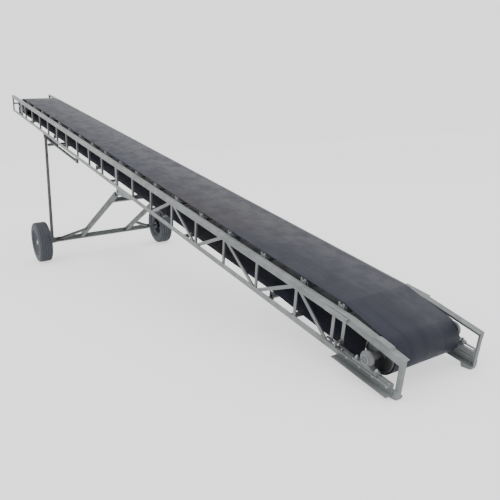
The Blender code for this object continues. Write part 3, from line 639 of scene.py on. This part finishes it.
def build_belt(finish):
    half, edge = BELT_WIDTH / 2, 0.0025
    section = [(-half, edge), (-half, BELT_THICKNESS - edge), (-half + edge, BELT_THICKNESS)]
    section += [(half - edge, BELT_THICKNESS), (half, BELT_THICKNESS - edge), (half, edge)]
    section += [(half - edge, 0.0), (-half + edge, 0.0)]
    bm = bmesh.new()
    rows = []
    for point, normal in belt_path():
        row = []
        for y, height in section:
            spot = point + normal * height
            row.append(bm.verts.new((-spot.x, y, spot.y)))
        rows.append(row)
    for i, here in enumerate(rows):
        there = rows[(i + 1) % len(rows)]
        for a in range(len(section)):
            b = (a + 1) % len(section)
            bm.faces.new((here[a], here[b], there[b], there[a]))
    bmesh.ops.remove_doubles(bm, verts=bm.verts, dist=1e-5)
    bmesh.ops.recalc_face_normals(bm, faces=bm.faces)
    belt = add_piece("belt", bm, finish["belt"], "root", sharp=50)
    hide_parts("conveyor_belt")


# Rollers, drum and pulley


def both_ways(half_profile):
    """A profile given for y >= 0, mirrored to run from the low end to the high end."""
    return [(r, -y) for r, y in reversed(half_profile)] + list(half_profile)


def roller_mesh(radius):
    """Tube with rolled-over ends, a recessed seal and the shaft's end."""
    half, shaft = ROLLER_HALF_LENGTH, ROLLER_SHAFT_HALF
    lip = 0.0035
    profile = [(radius, half - lip), (radius - lip * 0.3, half - lip * 0.3), (radius - lip, half)]
    profile += [(radius - 2 * lip, half - 0.001), (radius - 2 * lip, half - 0.006)]
    profile += [(ROLLER_SHAFT_RADIUS + 0.006, half - 0.006), (ROLLER_SHAFT_RADIUS + 0.004, half - 0.002)]
    profile += [(ROLLER_SHAFT_RADIUS, half - 0.002), (ROLLER_SHAFT_RADIUS, shaft - 0.0015)]
    profile += [(ROLLER_SHAFT_RADIUS - 0.0015, shaft), (0.0, shaft)]
    return lathe(both_ways(profile), 36)


def build_rollers(finish):
    for bodies, radius in ((ROLLERS, ROLLER_RADIUS), (RETURN_ROLLERS, RETURN_ROLLER_RADIUS)):
        for body in bodies:
            shape = moved(roller_mesh(radius), Matrix.Translation(joint_place(body + "_spin")))
            tube = add_piece(body + ".tube", shape, finish["roller"], body)
            tube.data.materials.append(finish["seal"])
            darken_ends(tube.data, ROLLER_HALF_LENGTH - 0.0045, ROLLER_HALF_LENGTH - 0.0015)
            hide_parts(body)


def darken_ends(mesh, low, high):
    """Gives the faces between two distances from the middle the mesh's second material."""
    for face in mesh.polygons:
        if low < abs(face.center.y) < high and abs(face.normal.y) > 0.5:
            face.material_index = 1
        elif abs(abs(face.center.y) - ROLLER_HALF_LENGTH + 0.006) < 0.0005:
            face.material_index = 1


def build_shaft_keepers(finish):
    """A washer on each roller shaft and the block that keeps it down in its bracket's slot."""
    low, high = ROLLER_HALF_LENGTH + BORE_GAP, BRACKET_Y - 0.0004
    bore, rim = ROLLER_SHAFT_RADIUS + BORE_GAP, 0.0165
    profile = [(bore, low), (rim - 0.001, low), (rim, low + 0.001), (rim, high - 0.001), (rim - 0.001, high)]
    profile.append((bore, high))
    half, inner, outer = BRACKET_SLOT / 2 - 0.0004, BRACKET_Y - 0.001, BRACKET_Y + BRACKET_WALL + 0.002
    foot, top = ROLLER_SHAFT_RADIUS + 0.0008, 0.030
    shapes = []
    for body in ROLLERS + RETURN_ROLLERS:
        place = Matrix.Translation(joint_place(body + "_spin"))
        for side in SIDES.values():
            shapes.append(moved(lathe([(r, side * y) for r, y in profile], 28, closed=True), place))
            near, far = sorted((side * inner, side * outer))
            shapes.append(moved(block((-half, near, foot), (half, far, top)), place))
    add_piece("shaft_keepers", merged(shapes), finish["zinc"], "root", bevel=0.0008)


def build_pulley(finish):
    """Welded tail pulley: turned shell, recessed end discs, hubs and shaft in one piece."""
    half, shaft = DRUM_HALF_LENGTH, TAIL_SHAFT_RADIUS
    reach = HOUSING_Y + HOUSING_WIDTH / 2 - 0.002
    profile = [(TAIL_RADIUS, half - 0.010), (TAIL_RADIUS - 0.004, half), (TAIL_RADIUS - 0.012, half)]
    profile += [(TAIL_RADIUS - 0.014, half - 0.010), (shaft + 0.022, half - 0.010)]
    profile.append((shaft + 0.019, half - 0.001))
    profile += [(shaft, half - 0.001), (shaft, reach - 0.002), (shaft - 0.002, reach), (0.0, reach)]
    place = Matrix.Translation(joint_place("tail_pulley_spin"))
    pulley = add_piece("tail_pulley.shell", moved(lathe(both_ways(profile), 72), place),
                       finish["roller"], "tail_pulley")
    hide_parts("tail_pulley")


def build_drum(finish):
    """Head drum: crowned shell, end covers with a ring of screws, bored for the fixed shaft."""
    half, bore = DRUM_HALF_LENGTH, HEAD_SHAFT_RADIUS + BORE_GAP
    profile = [(HEAD_RADIUS, half - 0.020), (HEAD_RADIUS - 0.005, half - 0.002), (HEAD_RADIUS - 0.008, half)]
    profile += [(HEAD_RADIUS - 0.018, half), (HEAD_RADIUS - 0.020, half - 0.005), (0.052, half - 0.005)]
    profile += [(0.049, half), (0.036, half), (0.034, half - 0.002), (bore, half - 0.002)]
    centre = joint_place("head_drum_spin")
    shape = moved(lathe(both_ways(profile), 72, closed=True), Matrix.Translation(centre))
    drum = add_piece("head_drum.shell", shape, finish["roller"], "head_drum")
    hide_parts("head_drum")
    screws = []
    for side in SIDES.values():
        for number in range(8):
            angle = 2 * math.pi * number / 8
            spot = centre + Vector((0.078 * math.cos(angle), side * (half - 0.0052), 0.078 * math.sin(angle)))
            screws.append(moved(hexagon(0.013, 0.0055), Matrix.Translation(spot) @ pointing(Y * side)))
    add_piece("head_drum.screws", merged(screws), finish["zinc"], "head_drum")


# Tail bearings and take-up


def housing_shapes(side):
    """One pillow block: foot with rounded ends, cast body, flanged boss and outer ring."""
    centre = joint_place("tail_pulley_spin")
    s, z = -centre.x, centre.z
    low, half, width = z - HOUSING_HEIGHT, HOUSING_LENGTH / 2, HOUSING_WIDTH / 2
    y = side * HOUSING_Y
    foot = [(-half, 0.0), (half, 0.0), (half, HOUSING_BASE * 0.7), (half - 0.010, HOUSING_BASE)]
    foot += [(0.050, HOUSING_BASE + 0.002), (0.036, HOUSING_BASE + 0.014), (-0.036, HOUSING_BASE + 0.014)]
    foot += [(-0.050, HOUSING_BASE + 0.002), (-half + 0.010, HOUSING_BASE), (-half, HOUSING_BASE * 0.7)]
    shapes = [extruded(foot, Vector((-s, y - width + 0.003, low)), X, Z, Y * (HOUSING_WIDTH - 0.006))]
    bore = TAIL_SHAFT_RADIUS + BORE_GAP
    ring = [(bore, -width), (0.0335, -width), (0.0345, -width + 0.004), (0.0400, -width + 0.004)]
    ring += [(0.0410, -0.0145), (0.0490, -0.0125), (0.0520, -0.0070)]
    ring += [(r, -reach) for r, reach in reversed(ring)]
    shapes.append(moved(lathe(ring, 56, closed=True), at(s, y, z)))
    return shapes


def build_bearings(finish):
    centre = joint_place("tail_pulley_spin")
    s, z = -centre.x, centre.z
    for name, side in SIDES.items():
        y, low = side * HOUSING_Y, z - HOUSING_HEIGHT
        body = add_piece(f"{name}_tail_bearing.housing", merged(housing_shapes(side)), finish["housing"],
                         "tail_carriage", bevel=0.0016)
        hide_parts(f"{name}_tail_bearing")
        bore, race_radius, race_depth = TAIL_SHAFT_RADIUS + BORE_GAP, 0.0290, 0.0012
        race = [(bore, 0.0), (race_radius, 0.0), (race_radius, race_depth), (bore, race_depth)]
        ring = lathe([(r, side * reach) for r, reach in race], 40, closed=True)
        fittings = [moved(ring, at(s, y + side * HOUSING_WIDTH / 2, z))]
        for offset in (-HOUSING_BOLT, HOUSING_BOLT):
            fittings += placed(nut_on_stud(0.019), at(s + offset, y, low + HOUSING_BASE) @ pointing(Z))
        leaning = pointing(Z - X * 0.45)
        fittings.append(moved(stud(0.0045, 0.0, 0.014), at(s + 0.020, y, z + 0.046) @ leaning))
        fittings.append(moved(hexagon(0.011, 0.005), at(s + 0.0195, y, z + 0.0455) @ leaning))
        add_piece(f"{name}_tail_bearing.bolts", merged(fittings), finish["zinc"],
                  "tail_carriage")


def screw_mesh(length):
    """A threaded rod along y from 0 to length."""
    steps, around = 4, 14
    count = round(length / SCREW_PITCH * steps)
    bm = bmesh.new()
    rings = []
    for step in range(count + 1):
        ring = []
        for corner in range(around):
            share = (step / steps + corner / around) % 1.0
            radius = SCREW_RADIUS - 0.0013 * abs(2 * share - 1)
            angle = 2 * math.pi * corner / around
            spoke = Vector((math.cos(angle), 0, math.sin(angle))) * radius
            ring.append(bm.verts.new(spoke + Y * (length * step / count)))
        rings.append(ring)
    for here, there in zip(rings, rings[1:]):
        for i in range(around):
            j = (i + 1) % around
            bm.faces.new((here[i], there[i], there[j], here[j]))
    bm.faces.new(rings[0])
    bm.faces.new(list(reversed(rings[-1])))
    bmesh.ops.recalc_face_normals(bm, faces=bm.faces)
    return bm


def build_takeup(finish):
    start = -joint_place("tail_pulley_spin").x + HOUSING_LENGTH / 2 + 0.001
    for name, side in SIDES.items():
        place = at(start, side * HOUSING_Y, SCREW_Z) @ pointing(-X)
        screw = add_piece(f"{name}_takeup_screw.thread", moved(screw_mesh(SCREW_END - start), place),
                          finish["dark_steel"], f"{name}_takeup_screw", sharp=80)
        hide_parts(f"{name}_takeup_screw")
        nuts = []
        for direction in (-1, 1):
            face = at(SCREW_BRACKET + direction * 0.0062, side * HOUSING_Y, SCREW_Z)
            spot = face @ pointing(-X * direction)
            nuts += placed([bored_nut(0.024, 0.013), bored_washer(0.0155, 0.0022)], spot)
        add_piece(f"{name}_takeup_nuts", merged(nuts), finish["zinc"], "root")


def bored_washer(radius, height):
    """A washer round the take-up screw, standing on y = 0."""
    bore = SCREW_RADIUS + 0.0004
    return lathe([(bore, 0.0), (radius, 0.0), (radius, height), (bore, height)], 32, closed=True)


def bored_nut(flats, height):
    """A nut round the take-up screw: its outer points go round a hexagon, its bore's round a circle."""
    corner, bore, foot = flats / math.sqrt(3), SCREW_RADIUS + 0.0004, 0.0024
    profile = [(bore, foot), (corner, foot), (corner, height * 0.8), (flats / 2, height), (bore, height)]
    nut = lathe(profile, 36, closed=True)
    for vert in nut.verts:
        if math.hypot(vert.co.x, vert.co.z) > bore + 0.001:
            within = math.atan2(vert.co.z, vert.co.x) % (math.pi / 3) - math.pi / 6
            flat = math.cos(math.pi / 6) / math.cos(within)
            vert.co.x *= flat
            vert.co.z *= flat
    return nut


# Frame details


def weld_ends():
    """Start and end (s, z) of the bead where each post and diagonal meets a chord's web."""
    top, bottom = -CHORD_WEB, -FRAME_DEPTH + CHORD_WEB
    half = POST_LEG / 2
    stations = [PAIRED_POST] + [s for s in POSTS if s != SPLICE]
    stations += [SPLICE - half, SPLICE + half, FRAME_LENGTH - half]
    ends = [((s - half, z), (s + half, z)) for s in stations for z in (top, bottom)]
    for low_s, high_s in DIAGONALS:
        lean = 0.05 if high_s > low_s else -0.05
        ends.append(((low_s + lean - 0.02, bottom), (low_s + lean + 0.03, bottom)))
        ends.append(((high_s - lean - 0.03, top), (high_s - lean + 0.02, top)))
    return ends


def build_welds(finish):
    beads = []
    for side in SIDES.values():
        y = side * (HALF_WIDTH - CHORD_WALL + 0.0018)
        for (s, z), (end_s, end_z) in weld_ends():
            beads.append(bead(Vector((-s, y, z)), Vector((-end_s, y, end_z)), 0.0026))
    add_piece("frame_welds", merged(beads), finish["weld"], "root")


def build_splice_bolts(finish):
    """Three bolts through the paired posts that join the frame's two sections, on each side."""
    shapes = []
    for side in SIDES.values():
        y = side * SPLICE_BOLTS_Y
        for z in SPLICE_BOLTS_Z:
            shapes += placed(bolt_head(0.017), at(SPLICE - SPLICE_WALL, y, z) @ pointing(X))
            shapes += placed(nut_on_stud(0.017), at(SPLICE + SPLICE_WALL, y, z) @ pointing(-X))
    add_piece("splice_bolts", merged(shapes), finish["zinc"], "root")


def build_tail_plates(finish):
    """The belt-edge guard on the left top chord, and the small shelves between the double posts."""
    outline = [(-0.075, 0.0), (0.075, 0.0), (0.060, 0.013), (-0.045, 0.013)]
    slope = Matrix.Rotation(TAIL_SLOPE, 4, "Y")
    guard = extruded(outline, Vector(), X, Z, Y * 0.044)
    place = at(0.175, -HALF_WIDTH + 0.002, -0.025) @ slope
    add_piece("left_edge_guard", moved(guard, place), finish["frame"], "root", bevel=0.002)
    shelves = []
    for side in SIDES.values():
        low_y, high_y = sorted((side * (HALF_WIDTH - 0.004), side * (HALF_WIDTH + 0.014)))
        shelves.append(block((-0.655, low_y, -0.2420), (-0.525, high_y, -0.2380)))
    add_piece("post_shelves", merged(shelves), finish["frame"], "root", bevel=0.001)


def build_rail_bolts(finish):
    """Bolts that hold the take-up rails and the head shaft plates."""
    shapes = []
    rail_top = joint_place("tail_pulley_spin").z - HOUSING_HEIGHT
    for side in SIDES.values():
        for s in CHANNEL_BOLTS:
            shapes += placed(bolt_head(0.013), at(s, side * HOUSING_Y, rail_top) @ pointing(Z))
        for s in RAIL_BOLTS:
            shapes += placed(bolt_head(0.016), at(s, side * RAIL_FACE_Y, RAIL_BOLT_Z) @ pointing(Y * side))
    head = joint_place("head_drum_spin")
    for side in SIDES.values():
        for offset in PLATE_BOLTS_S:
            for z in PLATE_BOLTS_Z:
                spot = at(-head.x + offset, side * PLATE_FACE_Y, z) @ pointing(-Y * side)
                shapes += placed(bolt_head(0.015), spot)
    add_piece("plate_bolts", merged(shapes), finish["zinc"], "root")


def build_head_shaft_ends(finish):
    """Keeper collars on the fixed shaft of the head drum."""
    centre = joint_place("head_drum_spin")
    bore = HEAD_SHAFT_RADIUS + 0.0005
    low, high = COLLAR
    outer, edge = 0.033, 0.002
    profile = [(bore, low), (outer - edge, low), (outer, low + edge), (outer, high - edge)]
    profile += [(outer - edge, high), (bore, high)]
    shapes = []
    for side in SIDES.values():
        ring = lathe([(r, side * y) for r, y in profile], 40, closed=True)
        shapes.append(moved(ring, Matrix.Translation(centre)))
    add_piece("head_shaft_collars", merged(shapes), finish["dark_steel"], "root")


# Undercarriage


def build_hinge_hardware(finish):
    """A washer and a head on each leg hinge pin."""
    shapes = []
    for name, side in SIDES.items():
        low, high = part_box(f"{name}_hinge_pin")
        outer = high.y if side > 0 else low.y
        centre = joint_place("leg_hinge")
        place = at(-centre.x, outer - side * 0.0072, centre.z) @ pointing(Y * side)
        plate = 0.003
        head = moved(stud(0.0145, 0.0, 0.0085), at(0, plate, 0))
        shapes += placed([washer(0.019, plate), head], place)
    add_piece("hinge_pin_heads", merged(shapes), finish["zinc"], "root")


def leg_axes():
    """The axle's and the hinge's places, and the way from the first to the second."""
    axle, hinge = joint_place("strut_hinge"), joint_place("leg_hinge")
    return axle, hinge, (hinge - axle).normalized()


def square_bead(centre, first, second, radius):
    """Four beads round a square of the leg tube's size, its sides along first and second."""
    beads = []
    for edge in (-LEG_HALF, LEG_HALF):
        start = centre + second * edge - first * LEG_HALF
        beads.append(bead(start, start + first * 2 * LEG_HALF, radius))
        start = centre + first * edge - second * LEG_HALF
        beads.append(bead(start, start + second * 2 * LEG_HALF, radius))
    return beads


def build_leg_details(finish):
    """Weld beads where the legs meet the axle and the cross tube."""
    axle, hinge, along = leg_axes()
    ahead = Y.cross(along)
    beads = []
    for side in SIDES.values():
        foot = axle + along * AXLE_BEAD + Y * side * LEG_Y
        beads += square_bead(foot, Y, ahead, 0.0038)
        joint = hinge - along * CROSS_TUBE_DROP + Y * side * (LEG_Y - LEG_HALF - 0.0005)
        beads += square_bead(joint, ahead, along, 0.0034)
    add_piece("leg_welds", merged(beads), finish["dark_weld"], "leg_frame")


def build_axle_collars(finish):
    """Collars either side of the strut's eye on the axle's left end."""
    axle = joint_place("strut_hinge")
    bore, outer, edge = 0.0256, 0.036, 0.002
    shapes = []
    for low, high in AXLE_COLLARS:
        profile = [(bore, low), (outer - edge, low), (outer, low + edge), (outer, high - edge)]
        profile += [(outer - edge, high), (bore, high)]
        ring = lathe([(r, -y) for r, y in profile], 36, closed=True)
        shapes.append(moved(ring, Matrix.Translation(axle)))
    add_piece("axle_collars", merged(shapes), finish["dark_steel"], "leg_frame")


def tyre_profile(radius):
    """Closed section of the tyre from one bead round the tread to the other."""
    half, inner = TYRE_WIDTH / 2, RIM_RADIUS + 0.0006
    wall = [(inner, half - 0.026), (inner + 0.004, half - 0.016), (inner + 0.012, half - 0.006)]
    wall += [(inner + 0.017, half - 0.0052), (inner + 0.021, half - 0.0062), (inner + 0.034, half - 0.0008)]
    wall += [(inner + 0.046, half), (inner + 0.060, half - 0.0016), (radius - 0.030, half - 0.0050)]
    wall += [(radius - 0.024, half - 0.0040), (radius - 0.014, half - 0.0085)]
    wall += [(radius - 0.006, half - 0.0155), (radius - 0.0015, half - 0.024)]
    groove, depth = 0.0035, 0.007
    tread = []
    for centre in (0.048, 0.016):
        tread += [(radius - 0.0004, centre + groove), (radius - depth, centre + groove * 0.7)]
        tread += [(radius - depth, centre - groove * 0.7), (radius - 0.0002, centre - groove)]
    whole = wall + tread + [(radius, 0.0)]
    return [(r, -y) for r, y in whole] + [(r, y) for r, y in reversed(whole[:-1])]


def tyre_mesh(radius):
    """The tyre, its shoulders notched between the tread blocks."""
    bm = lathe(tyre_profile(radius), TYRE_SEGMENTS, closed=True)
    for vert in bm.verts:
        reach = math.hypot(vert.co.x, vert.co.z)
        sector = round(math.atan2(vert.co.z, vert.co.x) / (2 * math.pi / TYRE_SEGMENTS))
        shoulder = reach > radius - 0.020 and abs(vert.co.y) > 0.050
        if shoulder and sector % 3 == 0:
            sunk = (reach - 0.0045) / reach
            vert.co.x *= sunk
            vert.co.z *= sunk
    return bm


def rim_barrel(side):
    """Closed section of the rim's barrel: rolled lips, bead seats and the drop centre."""
    half, lip = TYRE_WIDTH / 2 - 0.022, RIM_RADIUS
    outer = [(lip - 0.001, half), (lip + 0.0002, half - 0.003), (lip - 0.006, half - 0.008)]
    outer += [(lip - 0.010, half - 0.020), (lip - 0.030, half - 0.034)]
    outline = [(r, -y) for r, y in outer] + [(r, y) for r, y in reversed(outer)]
    inner = [(lip - 0.005, half - 0.001), (lip - 0.014, half - 0.012), (lip - 0.036, half - 0.032)]
    outline += [(r, y) for r, y in inner] + [(r, -y) for r, y in reversed(inner)]
    return lathe([(r, side * y) for r, y in outline], 84, closed=True)


def rim_disc(side):
    """The dished disc as an open sheet with hand holes. Solidify gives it thickness."""
    rings = [(0.030, 0.030), (0.050, 0.031), (0.078, 0.031), (0.088, 0.024), (0.097, 0.018), (0.118, 0.017)]
    rings += [(0.126, 0.022), (0.139, 0.040)]
    around = HAND_HOLES * 6
    bm = bmesh.new()
    grid = []
    for radius, y in rings:
        row = []
        for step in range(around):
            angle = 2 * math.pi * step / around
            row.append(bm.verts.new((radius * math.cos(angle), side * y, radius * math.sin(angle))))
        grid.append(row)
    for ring in range(len(rings) - 1):
        for step in range(around):
            following = (step + 1) % around
            hand_hole = ring == 4 and step % 6 in (1, 2, 3)
            if not hand_hole:
                bm.faces.new((grid[ring][step], grid[ring][following],
                              grid[ring + 1][following], grid[ring + 1][step]))
    bmesh.ops.recalc_face_normals(bm, faces=bm.faces)
    return bm


def add_disc(name, side, centre, finish, body):
    disc = add_piece(f"{name}_wheel.disc", moved(rim_disc(side), Matrix.Translation(centre)), finish["rim"],
                     body, sharp=60)
    for kind, settings in (("SOLIDIFY", {"thickness": 0.005, "offset": 0.0}),
                           ("SUBSURF", {"levels": 1, "render_levels": 1})):
        modifier = disc.modifiers.new(kind.lower(), kind)
        for key, value in settings.items():
            setattr(modifier, key, value)


def build_wheels(finish):
    for name, side in SIDES.items():
        body = f"{name}_wheel"
        centre = joint_place(f"{name}_wheel_spin")
        here = Matrix.Translation(centre)
        radius = JOINTS[f"{name}_wheel_spin"]["pos_m"][2]
        tyre = add_piece(f"{name}_wheel.tyre", moved(tyre_mesh(radius), here),
                         finish["tyre"], body, sharp=38)
        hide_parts(f"{name}_tyre")
        barrel = add_piece(f"{name}_wheel.barrel", moved(rim_barrel(side), here),
                           finish["rim"], body)
        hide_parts(f"{name}_wheel_rim")
        add_disc(name, side, centre, finish, body)
        hub = [(0.0206, -0.075), (0.040, -0.075), (0.046, -0.068), (0.046, -0.020), (0.058, -0.012)]
        hub += [(0.058, 0.020), (0.048, 0.0275), (0.033, 0.0285), (0.033, 0.040), (0.0206, 0.040)]
        shape = moved(lathe([(r, side * y) for r, y in hub], 48, closed=True), here)
        add_piece(f"{name}_wheel.hub", shape, finish["dark_steel"], body)
        add_piece(f"{name}_wheel.fittings", merged(wheel_fittings(side, centre)),
                  finish["zinc"], body)


def wheel_fittings(side, centre):
    """Wheel nuts on their studs, the hub's grease cap and the tyre valve."""
    shapes = []
    for number in range(WHEEL_NUTS):
        angle = 2 * math.pi * number / WHEEL_NUTS + 0.3
        spoke = Vector((math.cos(angle), 0, math.sin(angle)))
        spot = centre + spoke * NUT_CIRCLE + Y * side * 0.0338
        shapes += placed(nut_on_stud(0.019), Matrix.Translation(spot) @ pointing(Y * side))
    cap = [(0.0, 0.041), (0.0325, 0.041), (0.0325, 0.052), (0.030, 0.062), (0.022, 0.068), (0.0, 0.070)]
    ring = lathe([(r, side * y) for r, y in cap], 40)
    shapes.append(moved(ring, Matrix.Translation(centre)))
    valve = Matrix.Translation(centre + Vector((0.146, side * 0.036, 0.0))) @ pointing((-0.25, side, 0))
    shapes.append(moved(stud(0.004, 0.0, 0.026), valve))
    return shapes


# Carried-over CAD nodes


def finish_nodes(finish):
    """Gives each CAD node that still shows its material and rounds its edges."""
    by_slot = {"frame_paint": "frame", "chassis_paint": "chassis", "belt": "belt", "tyre": "tyre",
               "roller_steel": "roller", "bright_steel": "zinc", "housing_paint": "housing"}
    slots = {part["node"]: part["material_slot"] for part in frame["record"]["subparts"]}
    for name, node in frame["nodes"].items():
        if node.hide_render:
            continue
        node.data.materials.clear()
        node.data.materials.append(finish[by_slot[slots[name]]])
        weld = node.modifiers.new("join", "WELD")
        weld.merge_threshold = 0.00002
        flat = node.modifiers.new("flat", "DECIMATE")
        flat.decimate_type = "DISSOLVE"
        flat.angle_limit = math.radians(1.0)
        soften(node, 0.0010)


def main():
    make_camera()
    make_floor()
    make_lights()
    finish = make_materials()
    build_belt(finish)
    build_rollers(finish)
    build_shaft_keepers(finish)
    build_pulley(finish)
    build_drum(finish)
    build_bearings(finish)
    build_takeup(finish)
    build_welds(finish)
    build_splice_bolts(finish)
    build_tail_plates(finish)
    build_rail_bolts(finish)
    build_head_shaft_ends(finish)
    build_hinge_hardware(finish)
    build_leg_details(finish)
    build_axle_collars(finish)
    build_wheels(finish)
    finish_nodes(finish)


main()
